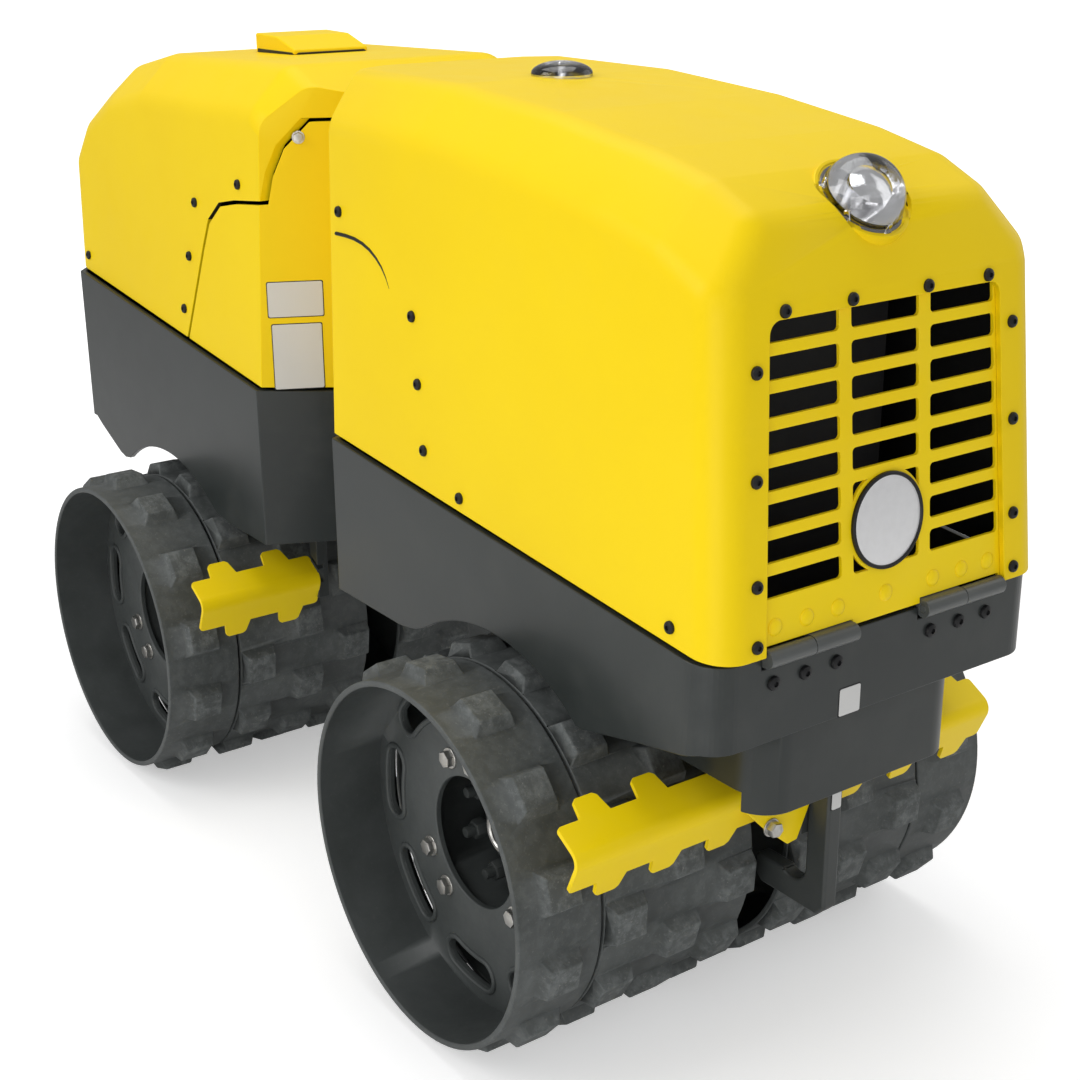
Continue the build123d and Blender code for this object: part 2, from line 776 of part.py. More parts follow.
save(box(*tank_xs, -tank_half_y, tank_half_y, tray_z, tank_top_z), "hydraulic_tank")
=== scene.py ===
import json
import math
import bmesh
import bpy
import numpy as np
from mathutils import Matrix, Vector
from mathutils.bvhtree import BVHTree


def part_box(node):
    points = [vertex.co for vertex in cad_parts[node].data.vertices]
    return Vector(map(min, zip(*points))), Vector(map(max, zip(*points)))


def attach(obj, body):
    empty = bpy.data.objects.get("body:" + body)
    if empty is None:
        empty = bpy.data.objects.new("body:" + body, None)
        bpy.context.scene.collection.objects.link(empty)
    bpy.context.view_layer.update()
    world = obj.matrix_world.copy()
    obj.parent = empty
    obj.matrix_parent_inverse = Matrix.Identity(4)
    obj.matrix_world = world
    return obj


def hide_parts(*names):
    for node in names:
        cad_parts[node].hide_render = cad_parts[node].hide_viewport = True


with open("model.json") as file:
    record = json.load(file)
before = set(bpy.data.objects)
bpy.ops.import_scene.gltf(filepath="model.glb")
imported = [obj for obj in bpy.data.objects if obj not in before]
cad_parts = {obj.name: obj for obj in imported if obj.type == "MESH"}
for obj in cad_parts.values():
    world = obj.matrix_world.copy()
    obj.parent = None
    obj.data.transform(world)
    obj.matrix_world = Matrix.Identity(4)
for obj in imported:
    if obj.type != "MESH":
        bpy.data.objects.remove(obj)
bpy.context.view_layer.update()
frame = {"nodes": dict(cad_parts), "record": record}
nodes = frame["nodes"]
print("frame loaded:", len(nodes), "nodes")


# camera at the photograph's viewing angle, in metres and degrees
cameraSettings = {
    "place": (2.2297, -1.4349, 1.4502),
    "yaw": 54.375,
    "pitch": 19.98,
    "roll": -0.38,
    "lens": 57.99,
    "sensor": 36.0,
}


def makeCamera(s):
    yaw, pitch, roll = (math.radians(s[k]) for k in ("yaw", "pitch", "roll"))
    forward = Vector((-math.sin(yaw) * math.cos(pitch), math.cos(yaw) * math.cos(pitch), -math.sin(pitch)))
    right = Vector((math.cos(yaw), math.sin(yaw), 0.0))
    up = right.cross(forward)
    rolledRight = right * math.cos(roll) + up * math.sin(roll)
    rolledUp = -right * math.sin(roll) + up * math.cos(roll)
    data = bpy.data.cameras.new("photoCamera")
    data.lens = s["lens"]
    data.sensor_width = s["sensor"]
    data.sensor_fit = "HORIZONTAL"
    camera = bpy.data.objects.new("photoCamera", data)
    axes = Matrix((rolledRight, rolledUp, -forward)).transposed().to_4x4()
    camera.matrix_world = Matrix.Translation(Vector(s["place"])) @ axes
    bpy.context.scene.collection.objects.link(camera)
    bpy.context.scene.camera = camera


# soft boxes: name, place, aim, size, watts
lampTable = [
    ("keyLamp", (-0.6, -3.8, 3.2), (0.2, 0.0, 0.7), 2.6, 64.0),
    ("frontLamp", (3.8, -0.6, 2.6), (0.6, 0.0, 0.6), 2.4, 8.5),
    ("lowLamp", (2.4, -2.6, 0.8), (0.2, -0.1, 0.3), 1.8, 23.0),
    ("fillLamp", (1.0, 3.6, 2.2), (0.0, 0.0, 0.5), 3.0, 21.0),
    ("topLamp", (-0.4, 0.2, 4.2), (0.0, 0.0, 0.5), 3.0, 60.0),
]
worldStrength = 0.425


def makeLamps(table):
    for name, place, aim, size, watts in table:
        data = bpy.data.lights.new(name, "AREA")
        data.size = size
        data.energy = watts
        lamp = bpy.data.objects.new(name, data)
        lamp.location = place
        lamp.rotation_euler = (Vector(aim) - Vector(place)).to_track_quat("-Z", "Y").to_euler()
        bpy.context.scene.collection.objects.link(lamp)


# a socket of a shader node that adds Math nodes when it is used in an expression
class Sock:
    def __init__(self, tree, socket):
        self.tree = tree
        self.socket = socket

    def math(self, operation, a, b):
        return self.tree.add("ShaderNodeMath", {"operation": operation}, [a, b])

    def __add__(self, other):
        return self.math("ADD", self, other)

    def __radd__(self, other):
        return self.math("ADD", other, self)

    def __sub__(self, other):
        return self.math("SUBTRACT", self, other)

    def __rsub__(self, other):
        return self.math("SUBTRACT", other, self)

    def __mul__(self, other):
        return self.math("MULTIPLY", self, other)

    def __rmul__(self, other):
        return self.math("MULTIPLY", other, self)


# one material's nodes, with one method that makes any of them
class Tree:
    def __init__(self, name):
        self.material = bpy.data.materials.new(name)
        self.material.use_nodes = True
        self.tree = self.material.node_tree
        self.shader = self.tree.nodes["Principled BSDF"]

    def add(self, kind, settings=None, values=(), out=0):
        node = self.tree.nodes.new(kind)
        for key, value in (settings or {}).items():
            setattr(node, key, value)
        items = values.items() if isinstance(values, dict) else enumerate(values)
        for key, value in items:
            self.put(node.inputs[key], value)
        return Sock(self, node.outputs[out])

    def put(self, socket, value):
        if isinstance(value, Sock):
            self.tree.links.new(value.socket, socket)
        elif isinstance(value, (tuple, list)) and socket.type == "RGBA" and len(value) == 3:
            socket.default_value = (*value, 1.0)
        else:
            socket.default_value = value

    def set(self, key, value):
        self.put(self.shader.inputs[key], value)

    def place(self):
        return self.add("ShaderNodeTexCoord", out=3)

    def attribute(self, name):
        return self.add("ShaderNodeAttribute", {"attribute_name": name}, out=2)

    def noise(self, vector, scale, detail=3.0, rough=0.5):
        values = {"Vector": vector, "Scale": scale, "Detail": detail, "Roughness": rough}
        return self.add("ShaderNodeTexNoise", None, values)

    def ramp(self, value, low, high):
        values = {"Value": value, "From Min": low, "From Max": high}
        return self.add("ShaderNodeMapRange", {"clamp": True}, values)

    def mix(self, factor, a, b):
        values = {0: factor, 6: a, 7: b}
        return self.add("ShaderNodeMix", {"data_type": "RGBA"}, values, out=2)

    def bump(self, height, strength, distance):
        values = {"Height": height, "Strength": strength, "Distance": distance}
        return self.add("ShaderNodeBump", None, values)


dustColour = (0.42, 0.41, 0.38)
coatRough = 0.14


# paint: large faint patches of another shade, a thin film of dust, fine orange peel
def paintMaterial(name, colour, shade, rough, peel, coat, dust, gloss):
    t = Tree(name)
    t.set("Specular IOR Level", gloss)
    place = t.place()
    film = t.ramp(t.noise(place, 11.0, 6.0, 0.62), 0.48, 0.85)    # dust in clouds a hand wide
    patches = t.ramp(t.noise(place, 3.0), 0.35, 0.7)
    t.set("Base Color", t.mix(film * dust, t.mix(patches, colour, shade), dustColour))
    t.set("Roughness", rough + (t.noise(place, 22.0, 4.0) - 0.5) * 0.1 + film * 0.06)
    t.set("Normal", t.bump(t.noise(place, 260.0, 2.0), peel, 0.0004))
    if coat:
        t.set("Coat Weight", coat)
        t.set("Coat Roughness", coatRough)
    return t.material


# bare metal: faint cloudy tarnish, with uneven roughness and fine scratches
def metalMaterial(name, colour, tarnish, rough, brushing):
    t = Tree(name)
    place = t.place()
    t.set("Base Color", t.mix(t.ramp(t.noise(place, 90.0, 4.0), 0.35, 0.7), colour, tarnish))
    t.set("Roughness", rough + (t.noise(place, 160.0, 3.0) - 0.5) * 0.16)
    t.set("Metallic", 1.0)
    t.set("Normal", t.bump(t.noise(place, 600.0, 2.0), brushing, 0.0002))
    return t.material


# drum paint that soil has dulled. The worn attribute is 0 inside and 1 on the tops of the lugs
def drumMaterial(name, clean, dull, soil):
    t = Tree(name)
    place = t.place()
    worn = t.attribute("worn")
    cloud = t.ramp(t.noise(place, 8.0, 6.0, 0.6), 0.38, 0.68)        # dulled, a hand wide
    chips = t.ramp(t.noise(place, 60.0, 8.0, 0.68), 0.44, 0.62)      # scuffed, a finger wide
    specks = t.ramp(t.noise(place, 210.0, 6.0, 0.7), 0.58, 0.7)      # grains of soil
    base = t.mix(cloud * 0.7, clean, dull)
    base = t.mix(worn * (0.25 + chips * 0.75) * 0.62, base, soil)
    t.set("Base Color", t.mix(specks * (0.05 + worn * 0.3), base, dustColour))
    t.set("Roughness", 0.46 + worn * 0.26 + chips * 0.08)
    pits = t.noise(place, 130.0, 8.0, 0.65) * 0.6 + t.noise(place, 28.0, 4.0) * 0.4
    t.set("Normal", t.bump(pits * (0.12 + worn * 0.88), 0.55, 0.0016))
    return t.material


# clear moulded plastic, with faint waves on its surface
def glassMaterial(name, colour, rough):
    t = Tree(name)
    t.set("Base Color", colour)
    t.set("Transmission Weight", 1.0)
    t.set("IOR", 1.42)
    t.set("Roughness", rough)
    t.set("Normal", t.bump(t.noise(t.place(), 60.0, 2.0), 0.08, 0.001))
    return t.material


# paints: colour, second shade, roughness, orange peel, clear coat, dust, gloss
paintTable = {
    "yellowHood": ((0.96, 0.69, 0.004), (0.93, 0.655, 0.004), 0.40, 0.05, 0.0, 0.01, 0.16),
    "yellowPaint": ((0.99, 0.73, 0.005), (0.96, 0.68, 0.005), 0.34, 0.07, 0.0, 0.03, 0.2),
    "frameGrey": ((0.027, 0.032, 0.031), (0.023, 0.027, 0.026), 0.32, 0.1, 0.1, 0.04, 0.4),
    "darkSteel": ((0.040, 0.045, 0.044), (0.030, 0.034, 0.033), 0.42, 0.2, 0.0, 0.04, 0.5),
    "engineGrey": ((0.02, 0.02, 0.022), (0.012, 0.012, 0.013), 0.6, 0.5, 0.0, 0.04, 0.5),
    "blackPlastic": ((0.009, 0.009, 0.010), (0.006, 0.006, 0.007), 0.42, 0.1, 0.0, 0.0, 0.35),
    "darkInside": ((0.014, 0.014, 0.014), (0.009, 0.009, 0.009), 0.8, 0.4, 0.0, 0.02, 0.2),
    "hingeGrey": ((0.085, 0.092, 0.090), (0.062, 0.068, 0.066), 0.30, 0.15, 0.2, 0.06, 0.5),
    "rimGrey": ((0.16, 0.16, 0.17), (0.10, 0.10, 0.11), 0.2, 0.05, 0.5, 0.04, 0.5),
    "labelWhite": ((0.66, 0.66, 0.65), (0.62, 0.62, 0.61), 0.34, 0.02, 0.0, 0.04, 0.5),
}
# bare metals: colour, tarnish, roughness, brushing
metalTable = {
    "brightSteel": ((0.62, 0.61, 0.58), (0.44, 0.43, 0.41), 0.34, 0.3),
    "chromeRod": ((0.72, 0.72, 0.72), (0.66, 0.66, 0.66), 0.14, 0.02),
    "badgeSilver": ((0.97, 0.97, 0.98), (0.93, 0.93, 0.94), 0.42, 0.02),
    "reflectorMetal": ((0.82, 0.82, 0.83), (0.70, 0.70, 0.71), 0.12, 0.4),
}
# drum paint: clean, dulled, soil. Lens: colour, roughness
drumColours = ((0.046, 0.052, 0.051), (0.080, 0.088, 0.087), (0.200, 0.215, 0.214))
lensLook = ((0.98, 0.985, 0.99), 0.02)
finishes = {name: paintMaterial(name, *row) for name, row in paintTable.items()}
finishes.update((name, metalMaterial(name, *row)) for name, row in metalTable.items())
finishes["drumGrey"] = drumMaterial("drumGrey", *drumColours)
finishes["lampLens"] = glassMaterial("lampLens", *lensLook)
# the finish of each of the record's slots
slotFinish = {
    "yellow_hood": "yellowHood", "yellow_paint": "yellowPaint", "frame_paint": "frameGrey",
    "drum_paint": "drumGrey", "dark_steel": "darkSteel", "bright_steel": "brightSteel",
    "chrome_rod": "chromeRod", "engine_grey": "engineGrey", "lens": "lampLens", "badge_grey": "badgeSilver",
}
slotOf = {part["node"]: part["material_slot"] for part in frame["record"]["subparts"]}
bodyOf = {node: body for body, group in frame["record"]["behaviour"]["bodies"].items() for node in group}
for name, node in nodes.items():
    node.data.materials.clear()
    node.data.materials.append(finishes[slotFinish[slotOf[name]]])
print("materials made:", len(finishes))


# faces of a grid of points, closed along its rows or columns where asked
def gridFaces(rows, cols, closeRows=False, closeCols=False):
    r = np.arange(rows if closeRows else rows - 1)
    c = np.arange(cols if closeCols else cols - 1)
    r, c = np.meshgrid(r, c, indexing="ij")
    r1, c1 = (r + 1) % rows, (c + 1) % cols
    return np.stack([r * cols + c, r * cols + c1, r1 * cols + c1, r1 * cols + c], -1).reshape(-1, 4)


# turned form: a profile of (radius, height) swept round +Z. scale(angle) can make it a hexagon
def turned(profile, steps=24, sides=0, closed=False):
    profile = np.array(profile, float)
    angle = np.arange(steps) * 2 * math.pi / steps
    scale = np.ones(steps)
    if sides:
        scale = 1 / np.cos((angle + math.pi / sides) % (2 * math.pi / sides) - math.pi / sides)
    radius = profile[:, :1] * scale[None, :]
    points = np.stack([radius * np.cos(angle), radius * np.sin(angle),
                       np.repeat(profile[:, 1:], steps, 1)], -1)
    return points.reshape(-1, 3), gridFaces(len(profile), steps, closed, True)


# turn a shape's +Z to a direction and move it to a place
def put(shape, place, direction, twist=0.0):
    turn = Vector(direction).to_track_quat("Z", "Y").to_matrix() @ Matrix.Rotation(twist, 3, "Z")
    return shape[0] @ np.array(turn).T + np.array(place), shape[1]


# tube: a circle carried along a path of points. Its side axis is square to the path and to `up`
def tube(path, radius, up, closed=True, steps=10):
    path = np.array(path, float)
    ahead = np.roll(path, -1, 0) - np.roll(path, 1, 0)
    if not closed:
        ahead[0], ahead[-1] = path[1] - path[0], path[-1] - path[-2]
    ahead /= np.linalg.norm(ahead, axis=1)[:, None]
    across = np.cross(ahead, np.array(up, float))
    across /= np.linalg.norm(across, axis=1)[:, None]
    over = np.cross(across, ahead)
    angle = np.arange(steps) * 2 * math.pi / steps
    radius = np.broadcast_to(np.array(radius, float), (len(path),))
    ring = across[:, None, :] * np.cos(angle)[None, :, None] + over[:, None, :] * np.sin(angle)[None, :, None]
    points = path[:, None, :] + ring * radius[:, None, None]
    return points.reshape(-1, 3), gridFaces(len(path), steps, closed, True)


# plate with rounded corners: rounded rectangles of growing inset stacked along +Z
def plateShape(width, height, thick, corner, edge=0.0006, steps=6):
    quarter = np.linspace(0, math.pi / 2, steps)
    loops = []
    for inset, z in ((corner, 0.0), (0.0, 0.0), (0.0, thick - edge), (edge, thick), (corner, thick)):
        r = max(corner - inset, 1e-5)
        parts = []
        for k, (sx, sy) in enumerate(((1, 1), (-1, 1), (-1, -1), (1, -1))):
            a = quarter + k * math.pi / 2
            cx, cy = sx * (width / 2 - corner), sy * (height / 2 - corner)
            parts.append(np.stack([cx + r * np.cos(a), cy + r * np.sin(a), np.full(steps, z)], 1))
        loops.append(np.concatenate(parts))
    count = 4 * steps
    points = np.concatenate(loops)
    faces = [list(f) for f in gridFaces(len(loops), count, False, True)]
    return points, faces + [list(range(count))[::-1], list(range(4 * count, 5 * count))]


mergeDistance = 2e-6
flatAngle = 0.2      # faces that turn by less are joined, in degrees
skinAngle = 28.0     # edges of a CAD node that turn by more are rounded
sharpMargin = 4.0    # between the angle that is rounded and the one that is shaded sharp


def finishMesh(mesh, sharp):
    mesh.shade_smooth()
    mesh.set_sharp_from_angle(angle=math.radians(sharp))


# one object from many shapes, on a body, with a finish
def makePiece(name, shapes, finish, body, slot, sharp=32.0, rounded=0.0):
    points, faces, start = [], [], 0
    for shapePoints, shapeFaces in shapes:
        points.append(shapePoints)
        faces += [[int(i) + start for i in face] for face in shapeFaces]
        start += len(shapePoints)
    mesh = bpy.data.meshes.new(name)
    mesh.from_pydata(np.concatenate(points).tolist(), [], faces)
    bm = bmesh.new()
    bm.from_mesh(mesh)
    bmesh.ops.remove_doubles(bm, verts=bm.verts, dist=mergeDistance)
    bmesh.ops.recalc_face_normals(bm, faces=bm.faces)
    if rounded:
        weighEdges(bm, sharp - sharpMargin)
    bm.to_mesh(mesh)
    bm.free()
    finishMesh(mesh, sharp)
    mesh.materials.append(finishes[finish])
    piece = bpy.data.objects.new(name, mesh)
    bpy.context.scene.collection.objects.link(piece)
    if rounded:
        addBevel(piece, rounded, 2)
    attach(piece, body)
    return piece


# live bevel on the edges that carry a weight
def addBevel(piece, width, segments):
    bevel = piece.modifiers.new("edges", "BEVEL")
    bevel.width = width
    bevel.segments = segments
    bevel.limit_method = "WEIGHT"
    bevel.use_clamp_overlap = False
    bevel.harden_normals = True


# outward edges sharper than an angle get a bevel weight of 1
def weighEdges(bm, angle):
    layer = bm.edges.layers.float.new("bevel_weight_edge")
    for edge in bm.edges:
        if edge.is_manifold and edge.is_convex and edge.calc_face_angle(0.0) > math.radians(angle):
            edge[layer] = 1.0


# a mesh with a placed cutter taken out of it
def cutMesh(mesh, shape):
    cutter = bpy.data.meshes.new("cutter")
    cutter.from_pydata(shape[0].tolist(), [], shape[1].tolist())
    objects = [bpy.data.objects.new(m.name, m) for m in (mesh, cutter)]
    for piece in objects:
        bpy.context.scene.collection.objects.link(piece)
    cut = objects[0].modifiers.new("cut", "BOOLEAN")
    cut.object = objects[1]
    cut.solver = "EXACT"
    bpy.context.view_layer.update()
    graph = bpy.context.evaluated_depsgraph_get()
    result = bpy.data.meshes.new_from_object(objects[0].evaluated_get(graph))
    for piece in objects:
        bpy.data.objects.remove(piece)
    return result


# a copy of a CAD node with merged points and rounded edges, which stands for the node
def dressNode(name, width, segments, cutter):
    mesh = nodes[name].data.copy()
    bm = bmesh.new()
    bm.from_mesh(mesh)
    bmesh.ops.remove_doubles(bm, verts=bm.verts, dist=mergeDistance)
    bmesh.ops.dissolve_limit(bm, angle_limit=math.radians(flatAngle), verts=bm.verts, edges=bm.edges)
    bm.to_mesh(mesh)
    if cutter:
        mesh = cutMesh(mesh, cutter)
        bm.clear()
        bm.from_mesh(mesh)
        bmesh.ops.remove_doubles(bm, verts=bm.verts, dist=mergeDistance)
    weighEdges(bm, skinAngle)
    bm.to_mesh(mesh)
    bm.free()
    mesh.name = name + "Skin"
    finishMesh(mesh, skinAngle + sharpMargin)
    piece = bpy.data.objects.new(name + "Skin", mesh)
    bpy.context.scene.collection.objects.link(piece)
    addBevel(piece, width, segments)
    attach(piece, bodyOf[name])
    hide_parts(name)
    return piece


# a hood's middle, and where the rim of the grille's opening lies
insideForm = {"middle": (0.5, 0, 0.80), "rimX": 0.86, "rimLean": 0.5, "rimY": 0.2}


# faces of a hood's skin that look inwards get a near black finish, apart from the rim of the grille's opening
def darkenInside(piece, end, form):
    mesh = piece.data
    mesh.materials.append(finishes["darkInside"])
    count = len(mesh.polygons)
    normals, centres = np.empty(count * 3), np.empty(count * 3)
    mesh.polygons.foreach_get("normal", normals)
    mesh.polygons.foreach_get("center", centres)
    normals, centres = normals.reshape(-1, 3), centres.reshape(-1, 3)
    middle = np.array(form["middle"]) * (end, 1, 1)
    inwards = ((centres - middle) * normals).sum(1) < 0
    rim = (np.abs(centres[:, 0]) > form["rimX"]) & (np.abs(centres[:, 1]) < form["rimY"])
    rim = rim & (np.abs(normals[:, 0]) < form["rimLean"])
    mesh.polygons.foreach_set("material_index", (inwards & ~rim).astype(np.int32))


# search trees of the CAD nodes, each made when it is first needed
trees = {}


# first place on a CAD node that a straight look from a point meets, with the surface's direction there
def seat(name, point, look):
    if name not in trees:
        mesh = nodes[name].data
        faces = [tuple(p.vertices) for p in mesh.polygons]
        trees[name] = BVHTree.FromPolygons([v.co.copy() for v in mesh.vertices], faces)
    hit, normal = trees[name].ray_cast(Vector(point), Vector(look).normalized())[:2]
    if normal.dot(Vector(look)) > 0:
        normal = -normal
    return np.array(hit), np.array(normal)


# the same, looking from ahead of the machine and from either side of it, in metres
aheadX = 1.2
asideY = 0.6


def seatAhead(name, y, z):
    return seat(name, (aheadX, y, z), (-1, 0, 0))


def seatAside(name, side, x, z):
    return seat(name, (x, side * asideY, z), (0, -side, 0))


# heads, turned on z = 0 with a foot just under it: profiles of (radius, height) that grow with the radius
def buttonHead(r):
    return turned([(0, -0.0005), (r, -0.0005), (r, 0.25 * r), (0.9 * r, 0.45 * r), (0.62 * r, 0.6 * r),
                   (0.4 * r, 0.64 * r), (0.34 * r, 0.36 * r), (0, 0.34 * r)], 20)


def rivetHead(r):
    return turned([(0, -0.0005), (r, -0.0005), (r, 0.0004), (0.93 * r, 0.14 * r), (0.7 * r, 0.27 * r),
                   (0.35 * r, 0.33 * r), (0, 0.34 * r)], 24)


def washer(r, thick):
    return turned([(0, -0.0005), (r, -0.0005), (r, thick * 0.8), (r - thick * 0.2, thick), (0, thick)], 28)


def hexHead(r, low, high):
    return turned([(0, low), (r, low), (r, high - 0.12 * r), (0.93 * r, high), (0.8 * r, high + 0.02 * r),
                   (0, high)], 36, 6)


# hexagon bolt on a washer. The size is the washer's radius and thickness and the head's radius and top
def hexBolt(size, place, out, twist=0.0):
    washerR, thick, headR, high = size
    return [put(washer(washerR, thick), place, out), put(hexHead(headR, thick, high), place, out, twist)]


# black button heads on the sides of the hoods, as (x, z)
hoodBolts = {
    "front_hood": [(0.112, 1.058), (0.304, 0.946), (0.320, 0.858), (0.336, 0.771), (0.424, 0.728),
                   (0.854, 0.692)],
    "rear_hood": [(-0.196, 1.059), (-0.350, 1.013), (-0.377, 0.924), (-0.402, 0.834), (-0.805, 0.862)],
}
# black button heads on the face round the grille, as (half distance apart, z)
faceBolts = [(0.060, 1.045), (0.161, 1.045), (0.204, 0.985), (0.208, 0.867), (0.211, 0.749), (0.213, 0.680)]
hoodBoltR = 0.0078
rivets = {"ys": (-0.178, -0.129, -0.080, -0.002, 0.078, 0.128, 0.175), "z": 0.693, "r": 0.0105}
frameBolts = {"ys": (0.079, 0.129, 0.178), "z": 0.625, "r": 0.0088}
# one on each chamfer of the rear panel: place to look from and look on the +Y side, size
panelBolts = {
    "from": (0.4, 0.441, 1.134),
    "look": (-0.90, -0.4355, 0),
    "size": (0.0095, 0.0014, 0.0068, 0.006),
}


def makeHoodFittings():
    for name, table in hoodBolts.items():
        seats = [seatAside(name, side, x, z) for x, z in table for side in (-1, 1)]
        if name == "front_hood":
            seats += [seatAhead(name, side * half, z) for half, z in faceBolts for side in (-1, 1)]
        shapes = [put(buttonHead(hoodBoltR), hit, normal) for hit, normal in seats]
        makePiece(name + "Bolts", shapes, "blackPlastic", bodyOf[name], "dark_steel")
    seats = [seatAhead("grille", y, rivets["z"]) for y in rivets["ys"]]
    shapes = [put(rivetHead(rivets["r"]), hit, normal) for hit, normal in seats]
    makePiece("grilleRivets", shapes, "yellowPaint", "front_hood_body", "yellow_paint")
    spots = [side * y for y in frameBolts["ys"] for side in (-1, 1)]
    seats = [seatAhead("front_frame", y, frameBolts["z"]) for y in spots]
    shapes = [put(buttonHead(frameBolts["r"]), hit, normal) for hit, normal in seats]
    makePiece("frameBolts", shapes, "blackPlastic", "front_half", "dark_steel")
    shapes = []
    for side in (-1, 1):
        point, look = (np.array(panelBolts[k]) * (1, side, 1) for k in ("from", "look"))
        shapes += hexBolt(panelBolts["size"], *seat("rear_panel", point, look))
    makePiece("panelBolts", shapes, "brightSteel", "rear_half", "bright_steel")


# plates that carry nothing: node, point to look from, look, width, height
labelTable = [
    ("rear_panel", (0.40, -0.46, 0.893), (-0.90, 0.4355, 0), 0.086, 0.056),
    ("rear_panel", (0.40, -0.46, 0.804), (-0.90, 0.4355, 0), 0.078, 0.104),
    ("front_frame", (1.2, -0.053, 0.569), (-1, 0, 0), 0.037, 0.038),
    ("front_tiedown_hook", (1.2, 0.0, 0.396), (-1, 0, 0), 0.019, 0.036),
]
labelForm = {"sink": 0.0002, "corner": 0.003, "rimThick": 0.0008, "thick": 0.0012, "border": 0.0024}


# each plate lies on a dark rim that is larger by the border
def makeLabels(form):
    plates, rims = {}, {}
    for name, point, look, width, height in labelTable:
        hit, normal = seat(name, point, look)
        side = np.cross((0, 0, 1.0), normal)
        side /= np.linalg.norm(side)
        up = np.cross(normal, side)
        for group, less, thick in ((rims, 0.0, form["rimThick"]), (plates, form["border"], form["thick"])):
            points, faces = plateShape(width - less, height - less, thick, form["corner"])
            lift = (points[:, 2:] - form["sink"]) * normal
            points = points[:, :1] * side + points[:, 1:2] * up + lift + hit
            group.setdefault(bodyOf[name], []).append((points, faces))
    for body, group in plates.items():
        makePiece(body + "Plates", group, "labelWhite", body, "bright_steel")
        makePiece(body + "PlateRims", rims[body], "blackPlastic", body, "dark_steel")


# axle's place, lugs in a row, turn of the rear drums in pitches of the lugs, and where wear starts and ends
drumForm = {
    "axleX": 0.5,
    "axleZ": 0.268,
    "lugs": 13,
    "rearTurn": -0.08,
    "shellR": 0.2490,
    "wearR": 0.256,
    "wearDepth": 0.009,
    "shellWear": 0.36,
    "lugWear": 0.64,
}


# wear grows with the distance from the axle: none inside the shell, most on the tops of the lugs
def paintWear(piece, x, form):
    mesh = piece.data
    points = np.empty(len(mesh.vertices) * 3)
    mesh.vertices.foreach_get("co", points)
    points = points.reshape(-1, 3)
    radius = np.hypot(points[:, 0] - x, points[:, 2] - form["axleZ"])
    worn = np.where(radius > form["shellR"], form["shellWear"], 0.0)
    worn = worn + form["lugWear"] * np.clip((radius - form["wearR"]) / form["wearDepth"], 0, 1)
    mesh.attributes.new("worn", "FLOAT", "POINT").data.foreach_set("value", worn.astype(np.float32))


# fittings on each drum disc: bolt pairs, raised beads round the slots, studs and hub. Angles are in degrees,
# sizes in metres, and a profile is a row of (radius, height)
discForm = {
    "face": 0.310,
    "boltR": 0.118,
    "boltSize": (0.0148, 0.0022, 0.0108, 0.0115),
    "pairAngles": (101.0, 221.0, 341.0),
    "pairHalf": 14.5,
    "slotMid": 0.198,
    "slotHalf": 0.0225,
    "slotHalfAngle": 10.0,
    "slotFirst": 42.0,
    "slots": 8,
    "bead": 0.0042,
    "studR": 0.074,
    "studs": 7,
    "studFirst": 150.0,
    "studFoot": 0.2135,
    "studProfile": [(0, 0), (0.008, 0), (0.008, 0.062), (0.007, 0.064), (0, 0.064)],
    "nut": (0.0125, 0.034, 0.050),
    "hubFoot": 0.2395,
    "hubProfile": [(0, 0), (0.059, 0), (0.059, 0.006), (0.055, 0.012), (0.045, 0.018), (0.034, 0.022),
                   (0, 0.022)],
    "hubRing": [(0.023, 0.0215), (0.031, 0.0215), (0.031, 0.026), (0.029, 0.028), (0.025, 0.028),
                (0.023, 0.026)],
}


# closed path round a slot that follows the wheel: two arcs and two half circles, in polar form
def slotPath(form, middle):
    half = math.radians(form["slotHalfAngle"])
    outer, inner = form["slotMid"] + form["slotHalf"], form["slotMid"] - form["slotHalf"]
    along = np.linspace(-half, half, 9)
    turn = np.linspace(0, math.pi, 10)[1:-1]
    arcs = []
    arcs.append(np.stack([outer * np.cos(along), outer * np.sin(along)], 1))
    for end, sign in ((half, 1), (-half, -1)):
        c, s = math.cos(end), math.sin(end)
        out = sign * form["slotHalf"] * np.cos(turn)
        side = sign * form["slotHalf"] * np.sin(turn)
        centre = form["slotMid"]
        arcs.append(np.stack([(centre + out) * c - side * s, (centre + out) * s + side * c], 1))
        if sign > 0:
            arcs.append(np.stack([inner * np.cos(along[::-1]), inner * np.sin(along[::-1])], 1))
    path = np.concatenate(arcs)
    c, s = math.cos(middle), math.sin(middle)
    return np.stack([path[:, 0] * c - path[:, 1] * s, path[:, 0] * s + path[:, 1] * c], 1)


# places on a circle round an axle, with the angle of each: the middle plus r times (cos, sin)
def wheelSpots(x, y, z, r, degrees, spin):
    angles = [math.radians(d) + spin for d in degrees]
    return [((x + r * math.cos(a), y, z + r * math.sin(a)), a) for a in angles]


